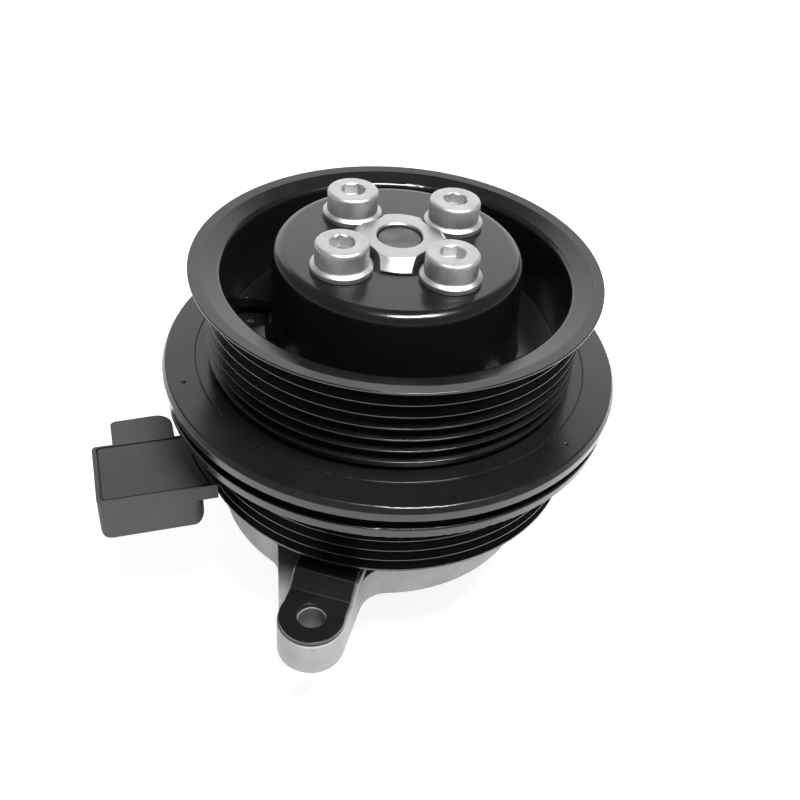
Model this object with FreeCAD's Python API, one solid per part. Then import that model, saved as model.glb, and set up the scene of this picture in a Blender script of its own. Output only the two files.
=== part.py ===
import FreeCAD, Part
import math
import os

# Electromagnetic clutch built onto a coolant pump.
# Frame: origin on the shaft axis in the plane of the housing's mounting face, +Z along the
# shaft towards the front pulley, -Y towards the mounting ear that carries the visible foot.
# All sizes are in millimetres and all angles in degrees.

# ---- driving dimensions -------------------------------------------------------------------
RIB_PITCH = 3.56            # ribbed-belt pitch of both pulleys
CREST_FLAT = 0.35           # flat on top of each rib
GROOVE_DEPTH = 2.6
CREST_ROUND = 0.15
ROOT_ROUND = 0.25
GROOVE_HALF_ANGLE = 20.0

FRONT_RIBS = 6
FRONT_CREST_R = 50.05
FRONT_FIRST_CREST_Z = 74.62
LIP_TOP_Z = 78.0
LIP_R = 53.9
LIP_EDGE = 0.7
LIP_ROLL_R = 1.6            # rolled corner from the lip into the well
PULLEY_BOTTOM_Z = 51.0
FLOOR_TOP_Z = 56.0
FLOOR_BOTTOM_Z = 53.0
FLOOR_OUTER_R = 44.6
HAT_TOP_Z = 83.0
HAT_UNDER_Z = 79.0
HAT_TOP_R = 32.2
HAT_FOOT_R = 34.0
HAT_WALL = 3.5

SCREW_CIRCLE_R = 19.1
SCREW_START = 43.8
SCREW_COUNT = 4
SCREW_R = 4.0
SCREW_HEAD_R = 6.75
WASHER_R = 7.85
WASHER_RIM = 1.35           # height of a washer's straight outer rim
WASHER_TOP_Z = 85.0
HEAD_TOP_Z = 90.45
HEX_FLATS = 5.9
SOCKET_DEPTH = 3.0

NOSE_TOP_Z = 85.85
NOSE_R = 13.6
NOSE_CHAMFER = 2.7
NOSE_SCALLOP_R = 9.6        # clears the washers
HAT_HOLE_R = 14.5
SHAFT_END_Z = 85.05         # front end of the shaft, a little below the nose
STUB_R = 5.9                # front end of the shaft and the hub's bore
SHAFT_R = 8.0
TAIL_R = 6.0                # rear end of the shaft, under the impeller
HUB_BOTTOM_Z = 50.0

SPRING_CIRCLE_R = 39.8
SPRING_START = 176.0        # armature end of the first leaf spring
SPRING_SPAN = 36.0
SPRING_COUNT = 3
SPRING_THICKNESS = 0.7
WINDOW_R = 7.3

ARMATURE_R = 62.3
ARMATURE_TOP_Z = 50.0
ARMATURE_RIM_Z = 48.4       # where the upright rim turns into the steep bevel
ARMATURE_BEVEL_R = 61.4
ARMATURE_BOTTOM_Z = 46.0
ARMATURE_BORE_R = 26.0
FRICTION_R = 57.5
FRICTION_BOTTOM_Z = 44.7
AIR_GAP = 0.5

ROTOR_RIBS = 5
ROTOR_CREST_R = 53.5
ROTOR_FIRST_CREST_Z = 36.6
ROTOR_FACE_R = 58.0
ROTOR_FLANGE_R = 61.7
ROTOR_FLANGE_TOP_Z = 42.6
ROTOR_FLANGE_BOTTOM_Z = 39.85
ROTOR_BOTTOM_Z = 18.2
ROTOR_FACE_Z = FRICTION_BOTTOM_Z - AIR_GAP
CAVITY_TOP_Z = 38.0

SNOUT_R = 20.0              # 40 x 62 x 20.6 double-row bearing on the snout
BEARING_OUTER_R = 31.0
BEARING_LOW_Z = 22.0
BEARING_TOP_Z = 42.6
SNOUT_TOP_Z = 46.5
SLEEVE_R = 15.0             # 30 mm shaft bearing pressed into the snout
SLEEVE_LOW_Z = 7.0
SLEEVE_TOP_Z = 45.5

BODY_R = 46.0
BODY_BORE_R = 39.0          # where the cast rim and ears meet the turned centre
BODY_SHIFT_X = -1.6
BODY_TOP_Z = 14.5
PLATE_THICKNESS = 1.5
PLATE_R = 47.0
PILOT_R = 31.0
PILOT_DEPTH = 6.0
EAR_ANGLES = (-102.6, 24.0, 142.0)
EAR_HOLE_CIRCLE_R = 66.0
EAR_TIP_R = 8.8
EAR_TOP_Z = 10.5
EAR_HOLE_R = 3.5
FOOT_HOLE_R = 3.8
FOOT_TIP_R = 8.4
FOOT_HALF_WIDTH = 8.1

CORE_INNER_R = 35.3
CORE_OUTER_R = 47.3
CORE_TOP_Z = 37.2
CORE_WALL = 2.2

CONNECTOR_TURN = 19.0       # the connector's length lies this far off the X axis
CONNECTOR_TOP_Z = 28.0
CONNECTOR_LOW_Z = 14.3
CONNECTOR_END = -83.0
CONNECTOR_FRONT = -21.0
CONNECTOR_REAR = 0.35
CONNECTOR_CLEAR_R = 56.2    # keeps clear of the rotor's ribs
CONNECTOR_NEAR = -55.9      # end of the lower block beside the rotor
CONNECTOR_INNER = -44.0     # where outlines end, inside the cut that clears the rotor
RIM_THICKNESS = 4.8
LID_END_INSET = 1.1
LID_SIDE_INSET = 0.45
LID_SEAM = 0.5
LID_DROP = 0.15
LID_THICKNESS = 1.6
CHAMBER_WALL = 3.0
CONNECTOR_CORNER_R = 1.2
TONGUE_LOW_Z = 14.6         # just above the housing's top face
TONGUE_TOP_Z = 17.4

# ---- dimensions shared by the inner pieces --------------------------------------------------
RIVET_SHANK_R = 2.2
RIVET_HEAD_R = 3.9
FRICTION_PIN_R = 1.6
FRICTION_PIN_CIRCLE_R = 51.5
FRICTION_PINS = 6
FRICTION_PIN_START = 26.0
ROTOR_CAVITY_R = 48.0
ROTOR_HUB_R = 34.6
ROTOR_CLIP_LOW_Z = 20.25
ROTOR_BALL_CIRCLE_R = 25.5
ROTOR_BALL_R = 3.3
ROTOR_BALL_INNER_R = 23.0
ROTOR_BALL_OUTER_R = 28.0
ROTOR_BALL_ROWS = (27.8, 36.8)
ROTOR_BALL_COUNT = 16
SHAFT_BALL_CIRCLE_R = 10.1
SHAFT_BALL_R = 2.3
SHAFT_BALL_OUTER_R = 12.2
SHAFT_BALL_ROWS = (16.0, 36.5)
SHAFT_BALL_COUNT = 9
IMPELLER_LOW_Z = -22.0
IMPELLER_BACK_Z = -10.5
IMPELLER_TOP_Z = -8.0
IMPELLER_R = 26.0
IMPELLER_BLADES = 6
SEAL_FACE_Z = -5.5
SEAL_CUP_R = 17.5
SEAL_CUP_TOP_Z = 3.0
ORING_R = 33.6
ORING_WIRE_R = 1.2
PLATE_BORE_R = 24.5
PLATE_SCREW_R = 2.0
PLATE_SCREW_CIRCLE_R = 28.6
PLATE_SCREW_START = 75.0
PLATE_SCREWS = 3
FOOT_SLOPE_START_R = 55.6
FOOT_SLOPE_END_R = 59.2
FOOT_BEND_SETBACK = 0.6     # shift of the sheet's underside on the slope
CORE_FLOOR = 2.4
BOBBIN_WALL = 1.0
COIL_TOP_Z = 34.0
CHANNEL_LOW = -7.8
CHANNEL_HIGH = -2.8
CHANNEL_FLOOR_Z = 15.6
MOUTH_LOW_Z = 17.6
MOUTH_HIGH_Z = 25.2
MOUTH_WALL = 2.6
MOUTH_BOTTOM = -69.0
TERMINAL_Z = 21.2
TERMINAL_THICKNESS = 0.8
TERMINAL_HALF_WIDTH = 1.4
TERMINAL_SIDES = (-13.4, -7.2)

FIT = 0.02                  # clearance of a located but separate piece
BEYOND = 1.0                # how far a cutter runs past the surface it cuts

ORIGIN = FreeCAD.Vector(0, 0, 0)
X_AXIS = FreeCAD.Vector(1, 0, 0)
Z_AXIS = FreeCAD.Vector(0, 0, 1)


# ---- small helpers ------------------------------------------------------------------------
def polar(radius, angle, z=0.0):
    """A point at a radius and an angle about the shaft axis."""
    turn = math.radians(angle)
    return FreeCAD.Vector(radius * math.cos(turn), radius * math.sin(turn), z)


def rounded_wire(corners):
    """A closed wire through corners, each a vector or a (vector, fillet radius) pair."""
    points = [c[0] if isinstance(c, tuple) else c for c in corners]
    radii = [c[1] if isinstance(c, tuple) else 0.0 for c in corners]
    count = len(points)
    starts = []
    ends = []
    arcs = []
    for i, point in enumerate(points):
        if radii[i] == 0.0:
            starts.append(point)
            ends.append(point)
            arcs.append(None)
            continue
        back = (points[i - 1] - point).normalize()
        ahead = (points[(i + 1) % count] - point).normalize()
        half = back.getAngle(ahead) / 2.0
        reach = radii[i] / math.tan(half)
        middle = (back + ahead).normalize()
        peak = point + middle * (radii[i] / math.sin(half) - radii[i])
        starts.append(point + back * reach)
        ends.append(point + ahead * reach)
        arcs.append(peak)
    edges = []
    for i in range(count):
        if arcs[i] is not None:
            edges.append(Part.Arc(starts[i], arcs[i], ends[i]).toShape())
        following = starts[(i + 1) % count]
        if (following - ends[i]).Length > 1e-6:
            edges.append(Part.makeLine(ends[i], following))
    return Part.Wire(edges)


def revolved(section):
    """A solid of revolution from (radius, z) or (radius, z, fillet) corners."""
    corners = []
    for item in section:
        point = FreeCAD.Vector(item[0], 0, item[1])
        corners.append((point, item[2]) if len(item) == 3 else point)
    return Part.Face(rounded_wire(corners)).revolve(ORIGIN, Z_AXIS, 360)


def prism(outline, low, high):
    """An upright prism from (x, y) or (x, y, fillet) corners."""
    corners = []
    for item in outline:
        point = FreeCAD.Vector(item[0], item[1], low)
        corners.append((point, item[2]) if len(item) == 3 else point)
    return Part.Face(rounded_wire(corners)).extrude(FreeCAD.Vector(0, 0, high - low))


def side_prism(outline, y_low, y_high):
    """A prism across the Y axis from (x, z) or (x, z, fillet) corners."""
    corners = []
    for item in outline:
        point = FreeCAD.Vector(item[0], y_low, item[1])
        corners.append((point, item[2]) if len(item) == 3 else point)
    return Part.Face(rounded_wire(corners)).extrude(FreeCAD.Vector(0, y_high - y_low, 0))


def cylinder(radius, low, high, centre=ORIGIN):
    """An upright cylinder between two heights."""
    base = FreeCAD.Vector(centre.x, centre.y, low)
    return Part.makeCylinder(radius, high - low, base, Z_AXIS)


def ring(inner, outer, low, high):
    """A plain ring about the shaft axis."""
    return revolved([(inner, low), (outer, low), (outer, high), (inner, high)])


def box(x_low, x_high, y_low, y_high, z_low, z_high):
    """A box between two corners."""
    corner = FreeCAD.Vector(x_low, y_low, z_low)
    return Part.makeBox(x_high - x_low, y_high - y_low, z_high - z_low, corner)


def turned(shape, angle):
    """A copy of the shape turned about the shaft axis."""
    copy = shape.copy()
    copy.rotate(ORIGIN, Z_AXIS, angle)
    return copy


def around(shape, count, start=0.0):
    """Equally spaced copies of a shape about the shaft axis."""
    return [turned(shape, start + i * 360.0 / count) for i in range(count)]


def sector_ring(inner, outer, low, high, span):
    """A ring sector centred on the +X side."""
    half = math.radians(span / 2.0)
    far = outer * 2.0
    wedge = prism([(0, 0), (far, -far * math.tan(half)), (far, far * math.tan(half))], low, high)
    return ring(inner, outer, low, high).common(wedge)


def torus(ring_radius, wire_radius, z):
    """A torus about the shaft axis."""
    return Part.makeTorus(ring_radius, wire_radius, FreeCAD.Vector(0, 0, z), Z_AXIS)


def tube_path(points, radius):
    """A round wire that follows straight runs with rounded corners."""
    pieces = []
    for start, end in zip(points, points[1:]):
        pieces.append(Part.makeCylinder(radius, (end - start).Length, start, end - start))
    for joint in points[1:-1]:
        pieces.append(Part.makeSphere(radius, joint))
    return pieces[0].multiFuse(pieces[1:]).removeSplitter()


def save(name, shapes):
    """Write one node, made of one or more separate solids."""
    if not isinstance(shapes, list):
        shapes = [shapes]
    solids = [solid for shape in shapes for solid in shape.Solids]
    whole = solids[0] if len(solids) == 1 else Part.makeCompound(solids)
    whole.exportStep(os.path.join("parts", name + ".step"))


def belt_ribs(first_crest_z, ribs, crest_r):
    """Outline of the belt grooves from the first crest down to the last one."""
    root_r = crest_r - GROOVE_DEPTH
    flank = GROOVE_DEPTH * math.tan(math.radians(GROOVE_HALF_ANGLE))
    half = CREST_FLAT / 2.0
    outline = []
    for i in range(ribs):
        crest_z = first_crest_z - i * RIB_PITCH
        next_z = crest_z - RIB_PITCH
        outline.append((crest_r, crest_z - half, CREST_ROUND))
        outline.append((root_r, crest_z - half - flank, ROOT_ROUND))
        outline.append((root_r, next_z + half + flank, ROOT_ROUND))
        outline.append((crest_r, next_z + half, CREST_ROUND))
    return outline


# ---- pieces that turn with the front pulley -------------------------------------------------
def front_pulley():
    """Formed pulley: rolled lip, six ribs, flat floor and a raised hat bolted to the hub."""
    wall_foot_r = HAT_FOOT_R - HAT_WALL
    wall_head_r = HAT_TOP_R - HAT_WALL
    section = [
        (HAT_HOLE_R, HAT_UNDER_Z),
        (HAT_HOLE_R, HAT_TOP_Z, 0.3),
        (HAT_TOP_R, HAT_TOP_Z, 3.0),
        (HAT_FOOT_R, FLOOR_TOP_Z, 0.8),
        (FLOOR_OUTER_R, FLOOR_TOP_Z, 0.4),
        (FLOOR_OUTER_R + 1.0, LIP_TOP_Z - 1.85, LIP_ROLL_R),
        (LIP_R - 3.0, LIP_TOP_Z - 0.35, 1.5),
        (LIP_R, LIP_TOP_Z, 0.25),
        (LIP_R, LIP_TOP_Z - LIP_EDGE, 0.25),
        (FRONT_CREST_R - 1.5, LIP_TOP_Z - 1.5, 0.8),
        (FRONT_CREST_R - 1.5, FRONT_FIRST_CREST_Z + 1.0, 0.3),
        (FRONT_CREST_R, FRONT_FIRST_CREST_Z + CREST_FLAT / 2.0, CREST_ROUND),
    ]
    section += belt_ribs(FRONT_FIRST_CREST_Z, FRONT_RIBS, FRONT_CREST_R)
    last_z = FRONT_FIRST_CREST_Z - FRONT_RIBS * RIB_PITCH
    section += [
        (FRONT_CREST_R, last_z - CREST_FLAT / 2.0, CREST_ROUND),
        (FRONT_CREST_R - 0.9, PULLEY_BOTTOM_Z, 0.5),
        (FLOOR_OUTER_R + 1.2, PULLEY_BOTTOM_Z, 0.5),
        (FLOOR_OUTER_R + 1.2, FLOOR_BOTTOM_Z),
        (wall_foot_r, FLOOR_BOTTOM_Z, 2.0),
        (wall_head_r, HAT_UNDER_Z, 1.0),
    ]
    pulley = revolved(section)
    low = FLOOR_BOTTOM_Z - BEYOND
    high = FLOOR_TOP_Z + BEYOND
    spring_end = polar(SPRING_CIRCLE_R, 0)
    window = cylinder(WINDOW_R, low, high, spring_end)
    window = window.common(cylinder(FLOOR_OUTER_R - 0.1, low, high))
    cutters = around(window, SPRING_COUNT, SPRING_START)
    rivet_hole = cylinder(RIVET_SHANK_R + FIT, low, high, spring_end)
    cutters += around(rivet_hole, SPRING_COUNT, SPRING_START + SPRING_SPAN)
    screw_place = polar(SCREW_CIRCLE_R, 0)
    screw_hole = cylinder(SCREW_R + 0.4, HAT_UNDER_Z - BEYOND, HAT_TOP_Z + BEYOND, screw_place)
    cutters += around(screw_hole, SCREW_COUNT, SCREW_START)
    return pulley.cut(cutters)


def hex_socket(low, high):
    """The hexagon recess of a socket screw."""
    corner_r = HEX_FLATS / math.sqrt(3.0)
    corners = [polar(corner_r, 60 * i) for i in range(6)]
    return prism([(c.x, c.y) for c in corners], low, high)


def pulley_screws():
    """Socket screws with a crowned rim and a hexagon recess."""
    tip_z = HAT_TOP_Z - 13.0
    tip_chamfer = 0.8
    section = [
        (0, tip_z),
        (SCREW_R - tip_chamfer, tip_z),
        (SCREW_R, tip_z + tip_chamfer),
        (SCREW_R, WASHER_TOP_Z),
        (SCREW_HEAD_R, WASHER_TOP_Z, 0.3),
        (SCREW_HEAD_R, HEAD_TOP_Z, 0.9),
        (0, HEAD_TOP_Z),
    ]
    screw = revolved(section).cut(hex_socket(HEAD_TOP_Z - SOCKET_DEPTH, HEAD_TOP_Z + BEYOND))
    lead_r = HEX_FLATS / 2.0
    lead_in = Part.makeCone(lead_r, lead_r + 0.5, 0.5, FreeCAD.Vector(0, 0, HEAD_TOP_Z - 0.4))
    screw = screw.cut(lead_in)
    screw.translate(polar(SCREW_CIRCLE_R, 0))
    return around(screw, SCREW_COUNT, SCREW_START)


def screw_washers():
    """Captive conical washers under the screw heads."""
    section = [
        (SCREW_R + 0.2, HAT_TOP_Z),
        (WASHER_R, HAT_TOP_Z, 0.25),
        (WASHER_R, HAT_TOP_Z + WASHER_RIM, 0.2),
        (SCREW_HEAD_R + 0.15, WASHER_TOP_Z),
        (SCREW_R + 0.2, WASHER_TOP_Z),
    ]
    washer = revolved(section)
    washer.translate(polar(SCREW_CIRCLE_R, 0))
    return around(washer, SCREW_COUNT, SCREW_START)


def drive_hub():
    """Hub pressed on the shaft: boss, screw flange and a nose with four lobes."""
    boss_r = 12.5
    flange_r = 27.0
    flange_low_z = 68.0
    section = [
        (STUB_R, HUB_BOTTOM_Z),
        (boss_r, HUB_BOTTOM_Z, 0.8),
        (boss_r, flange_low_z, 2.0),
        (flange_r, flange_low_z, 0.8),
        (flange_r, HAT_UNDER_Z, 0.8),
        (NOSE_R, HAT_UNDER_Z),
        (NOSE_R, NOSE_TOP_Z - NOSE_CHAMFER),
        (NOSE_R - NOSE_CHAMFER, NOSE_TOP_Z),
        (STUB_R + 0.35, NOSE_TOP_Z),
        (STUB_R, NOSE_TOP_Z - 0.35),
    ]
    screw_place = polar(SCREW_CIRCLE_R, 0)
    scallop = cylinder(NOSE_SCALLOP_R, HAT_UNDER_Z, NOSE_TOP_Z + BEYOND, screw_place)
    thread_hole = cylinder(SCREW_R + FIT, flange_low_z - BEYOND, HAT_UNDER_Z + BEYOND, screw_place)
    cutters = around(scallop, SCREW_COUNT, SCREW_START)
    cutters += around(thread_hole, SCREW_COUNT, SCREW_START)
    return revolved(section).cut(cutters)


def pump_shaft():
    """Stepped shaft with two ball grooves and a relieved front end."""
    step_z = SLEEVE_LOW_Z - 3.0
    relief = 0.35
    relief_depth = 1.8
    section = [
        (0, IMPELLER_LOW_Z),
        (TAIL_R, IMPELLER_LOW_Z, 0.6),
        (TAIL_R, step_z),
        (SHAFT_R, step_z),
        (SHAFT_R, HUB_BOTTOM_Z),
        (STUB_R, HUB_BOTTOM_Z),
        (STUB_R, SHAFT_END_Z - relief_depth),
        (STUB_R - relief, SHAFT_END_Z - relief_depth),
        (STUB_R - relief, SHAFT_END_Z, 0.2),
        (0, SHAFT_END_Z),
    ]
    shaft = revolved(section)
    grooves = [torus(SHAFT_BALL_CIRCLE_R, SHAFT_BALL_R + FIT, z) for z in SHAFT_BALL_ROWS]
    return shaft.cut(grooves)


def leaf_springs():
    """Three flat springs: one end on the armature, the other under the pulley's floor."""
    start = polar(SPRING_CIRCLE_R, 0)
    end = polar(SPRING_CIRCLE_R, SPRING_SPAN)
    length = (end - start).Length
    low = ARMATURE_TOP_Z
    high = FLOOR_BOTTOM_Z - SPRING_THICKNESS
    pad = 5.6
    lower = [(-pad, low), (pad, low), (length - pad, high), (length + pad, high)]
    upper = [(x, z + SPRING_THICKNESS) for x, z in reversed(lower)]
    strip = side_prism(lower + upper, -pad, pad)
    end_r = 4.8
    half_width = 4.2
    plan = cylinder(end_r, 0, LIP_TOP_Z)
    plan = plan.fuse(cylinder(end_r, 0, LIP_TOP_Z, FreeCAD.Vector(length, 0, 0)))
    plan = plan.fuse(box(0, length, -half_width, half_width, 0, LIP_TOP_Z))
    holes = [cylinder(RIVET_SHANK_R + FIT, 0, LIP_TOP_Z)]
    holes.append(cylinder(RIVET_SHANK_R + FIT, 0, LIP_TOP_Z, FreeCAD.Vector(length, 0, 0)))
    leaf = strip.common(plan).cut(holes)
    heading = end - start
    leaf.rotate(ORIGIN, Z_AXIS, math.degrees(math.atan2(heading.y, heading.x)))
    leaf.translate(start)
    return around(leaf, SPRING_COUNT, SPRING_START)


def spring_pulley_rivets():
    """Rivets that hold the springs under the pulley's floor."""
    seat = FLOOR_BOTTOM_Z - SPRING_THICKNESS
    lower_head = 0.9
    upper_head = 1.1
    section = [
        (0, seat - lower_head),
        (RIVET_HEAD_R - 0.3, seat - lower_head, 0.3),
        (RIVET_HEAD_R, seat),
        (RIVET_SHANK_R, seat),
        (RIVET_SHANK_R, FLOOR_TOP_Z),
        (RIVET_HEAD_R, FLOOR_TOP_Z),
        (RIVET_HEAD_R - 0.7, FLOOR_TOP_Z + upper_head, 0.6),
        (0, FLOOR_TOP_Z + upper_head),
    ]
    rivet = revolved(section)
    rivet.translate(polar(SPRING_CIRCLE_R, 0))
    return around(rivet, SPRING_COUNT, SPRING_START + SPRING_SPAN)


def impeller_blade():
    """One backward-curved blade in plan, from the hub to the rim."""
    inner = polar(9.6, 0)
    middle = polar(18.0, 22.0)
    outer = polar(IMPELLER_R + BEYOND, 58.0)
    path = Part.Arc(inner, middle, outer).toShape()
    hub_end = 2.0
    thickness = 1.8
    blade_face = path.extrude(FreeCAD.Vector(0, 0, IMPELLER_BACK_Z - IMPELLER_LOW_Z - hub_end))
    blade_face.translate(FreeCAD.Vector(0, 0, IMPELLER_LOW_Z + hub_end))
    return blade_face.makeOffsetShape(thickness, 0.01, fill=True)


def impeller():
    """Moulded impeller: hub, back plate and curved blades."""
    hub = [
        (TAIL_R, IMPELLER_LOW_Z + 1.0),
        (9.0, IMPELLER_LOW_Z + 1.0, 1.0),
        (10.5, IMPELLER_BACK_Z),
        (10.5, IMPELLER_TOP_Z),
        (TAIL_R, IMPELLER_TOP_Z),
    ]
    back_plate = ring(TAIL_R, IMPELLER_R, IMPELLER_BACK_Z, IMPELLER_TOP_Z)
    blades = []
    for blade in around(impeller_blade(), IMPELLER_BLADES):
        trimmed = blade.common(ring(9.0, IMPELLER_R, IMPELLER_LOW_Z, IMPELLER_BACK_Z + 0.5))
        blades.append(trimmed)
    return revolved(hub).multiFuse([back_plate] + blades).removeSplitter()


def seal_mating_ring():
    """Hard ring that turns with the shaft against the carbon face."""
    return ring(TAIL_R, 12.0, IMPELLER_TOP_Z, SEAL_FACE_Z - FIT)


# ---- pieces of the armature -----------------------------------------------------------------
def armature_carrier():
    """Plate with a bevelled rim, a turned groove and three centre-punch marks."""
    groove_r = 53.4
    groove_half = 0.15
    groove_depth = 0.35
    section = [
        (ARMATURE_BORE_R, ARMATURE_BOTTOM_Z),
        (ARMATURE_R, ARMATURE_BOTTOM_Z, 0.2),
        (ARMATURE_R, ARMATURE_RIM_Z, 0.3),
        (ARMATURE_BEVEL_R, ARMATURE_TOP_Z, 0.45),
        (groove_r + groove_half, ARMATURE_TOP_Z),
        (groove_r + groove_half, ARMATURE_TOP_Z - groove_depth),
        (groove_r - groove_half, ARMATURE_TOP_Z - groove_depth),
        (groove_r - groove_half, ARMATURE_TOP_Z),
        (ARMATURE_BORE_R, ARMATURE_TOP_Z, 0.5),
    ]
    plate = revolved(section)
    mark_depth = 0.6
    mark_tip = FreeCAD.Vector(57.5, 0, ARMATURE_TOP_Z - mark_depth)
    mark = Part.makeCone(0.1, 1.3, 2 * mark_depth, mark_tip)
    cutters = around(mark, 3, -37.0)
    hole = cylinder(RIVET_SHANK_R + FIT, 0, LIP_TOP_Z, polar(SPRING_CIRCLE_R, 0))
    cutters += around(hole, SPRING_COUNT, SPRING_START)
    pin_place = polar(FRICTION_PIN_CIRCLE_R, 0)
    pin_hole = cylinder(FRICTION_PIN_R + FIT, 0, ARMATURE_BOTTOM_Z + 1.8, pin_place)
    cutters += around(pin_hole, FRICTION_PINS, FRICTION_PIN_START)
    return plate.cut(cutters)


def friction_plate():
    """Steel friction disc with three arc slots that steer the magnetic flux."""
    low = FRICTION_BOTTOM_Z - BEYOND
    high = ARMATURE_BOTTOM_Z + BEYOND
    disc = ring(33.0, FRICTION_R, FRICTION_BOTTOM_Z, ARMATURE_BOTTOM_Z)
    cutters = around(sector_ring(46.6, 48.0, low, high, 88), 3, 30.0)
    pin_hole = cylinder(FRICTION_PIN_R + FIT, low, high, polar(FRICTION_PIN_CIRCLE_R, 0))
    cutters += around(pin_hole, FRICTION_PINS, FRICTION_PIN_START)
    rivet_hole = cylinder(RIVET_SHANK_R + FIT, low, high, polar(SPRING_CIRCLE_R, 0))
    cutters += around(rivet_hole, SPRING_COUNT, SPRING_START)
    return disc.cut(cutters)


def friction_rivets():
    """Flush pins that join the friction disc to the carrier."""
    pin = cylinder(FRICTION_PIN_R, FRICTION_BOTTOM_Z + 0.2, ARMATURE_BOTTOM_Z + 1.6)
    pin.translate(polar(FRICTION_PIN_CIRCLE_R, 0))
    return around(pin, FRICTION_PINS, FRICTION_PIN_START)


def spring_armature_rivets():
    """Rivets of the springs' armature ends, with ringed heads seen through the windows."""
    head_low = ARMATURE_TOP_Z + SPRING_THICKNESS
    section = [
        (0, FRICTION_BOTTOM_Z + 0.3),
        (RIVET_SHANK_R, FRICTION_BOTTOM_Z + 0.3),
        (RIVET_SHANK_R, head_low),
        (4.6, head_low),
        (4.6, head_low + 0.7, 0.2),
        (3.5, head_low + 0.7),
        (3.5, head_low + 1.2, 0.2),
        (2.2, head_low + 1.2),
        (1.9, head_low + 0.8),
        (0, head_low + 0.8),
    ]
    rivet = revolved(section)
    rivet.translate(polar(SPRING_CIRCLE_R, 0))
    return around(rivet, SPRING_COUNT, SPRING_START)


# ---- pieces of the rotor --------------------------------------------------------------------
def rotor_pulley():
    """Rotor: friction face, thin flange, five ribs and a hub around its bearing."""
    seat_r = BEARING_OUTER_R
    shoulder = 2.1
    relief_r = ROTOR_CREST_R - 1.7
    hub_end_z = 18.6
    clip_groove_r = seat_r + 1.2
    clip_groove_z = ROTOR_CLIP_LOW_Z - 0.05
    section = [
        (seat_r, BEARING_TOP_Z),
        (seat_r - shoulder, BEARING_TOP_Z),
        (seat_r - shoulder, ROTOR_FACE_Z, 0.3),
        (ROTOR_FACE_R, ROTOR_FACE_Z, 0.4),
        (ROTOR_FACE_R, ROTOR_FLANGE_TOP_Z, 0.3),
        (ROTOR_FLANGE_R, ROTOR_FLANGE_TOP_Z, 0.4),
        (ROTOR_FLANGE_R - 0.1, ROTOR_FLANGE_BOTTOM_Z, 0.3),
        (relief_r, ROTOR_FLANGE_BOTTOM_Z - 1.0, 0.6),
        (relief_r, ROTOR_FIRST_CREST_Z + 1.1, 0.3),
        (ROTOR_CREST_R, ROTOR_FIRST_CREST_Z + CREST_FLAT / 2.0, CREST_ROUND),
    ]
    section += belt_ribs(ROTOR_FIRST_CREST_Z, ROTOR_RIBS, ROTOR_CREST_R)
    section += [
        (ROTOR_CREST_R, ROTOR_BOTTOM_Z, 0.2),
        (ROTOR_CAVITY_R, ROTOR_BOTTOM_Z, 0.5),
        (ROTOR_CAVITY_R, CAVITY_TOP_Z, 1.0),
        (ROTOR_HUB_R, CAVITY_TOP_Z, 1.0),
        (ROTOR_HUB_R, hub_end_z, 0.4),
        (seat_r + 0.3, hub_end_z),
        (seat_r, hub_end_z + 0.3),
        (seat_r, clip_groove_z),
        (clip_groove_r, clip_groove_z),
        (clip_groove_r, BEARING_LOW_Z),
        (seat_r, BEARING_LOW_Z),
    ]
    slot = sector_ring(41.0, 42.6, CAVITY_TOP_Z - BEYOND, ROTOR_FACE_Z + BEYOND, 74)
    return revolved(section).cut(around(slot, 4, 20.0))


def split_ring(inner, outer, low, high, eye_r, gap):
    """A circlip: a split ring with a drilled eye on each side of its gap."""
    body = ring(inner, outer, low, high)
    below = low - BEYOND
    above = high + BEYOND
    slit = box(0, outer + BEYOND, -gap / 2.0, gap / 2.0, below, above)
    eyes = []
    for side in (-1, 1):
        spot = FreeCAD.Vector((inner + outer) / 2.0, side * (gap / 2.0 + 1.6), 0)
        eyes.append(cylinder(eye_r, below, above, spot))
    return body.cut([slit] + eyes)


def rotor_circlip():
    """Internal circlip that keeps the bearing in the rotor."""
    clip = split_ring(BEARING_OUTER_R - 1.8, BEARING_OUTER_R + 1.15, ROTOR_CLIP_LOW_Z,
                      BEARING_LOW_Z, 0.7, 7.0)
    return turned(clip, 70)


def bearing_outer_ring():
    """Outer ring of the rotor bearing with two raceways."""
    rim = ring(ROTOR_BALL_OUTER_R, BEARING_OUTER_R, BEARING_LOW_Z, BEARING_TOP_Z)
    return rim.cut([torus(ROTOR_BALL_CIRCLE_R, ROTOR_BALL_R + FIT, z) for z in ROTOR_BALL_ROWS])


def bearing_seals():
    """Rubber lip seals that turn with the outer ring."""
    lip_r = ROTOR_BALL_INNER_R + 0.05
    inset = 0.3
    thickness = 1.0
    low_z = BEARING_LOW_Z + inset
    high_z = BEARING_TOP_Z - inset
    low = ring(lip_r, ROTOR_BALL_OUTER_R, low_z, low_z + thickness)
    high = ring(lip_r, ROTOR_BALL_OUTER_R, high_z - thickness, high_z)
    return [low, high]


# ---- bearing cages and balls ----------------------------------------------------------------
def ball_rows(circle_r, ball_r, rows, count):
    """Balls of a two-row bearing, each row shifted by half a pitch from the other."""
    balls = []
    for i, z in enumerate(rows):
        ball = Part.makeSphere(ball_r, FreeCAD.Vector(circle_r, 0, z))
        balls += around(ball, count, i * 180.0 / count)
    return balls


def ball_cages(circle_r, ball_r, rows, count, thickness, half_height):
    """Moulded cages with one pocket for each ball."""
    half = thickness / 2.0
    cages = []
    for i, z in enumerate(rows):
        cage = ring(circle_r - half, circle_r + half, z - half_height, z + half_height)
        start = FreeCAD.Vector(circle_r - thickness, 0, z)
        pocket = Part.makeCylinder(ball_r + 0.1, 2 * thickness, start, X_AXIS)
        cages.append(cage.cut(around(pocket, count, i * 180.0 / count)))
    return cages


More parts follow.
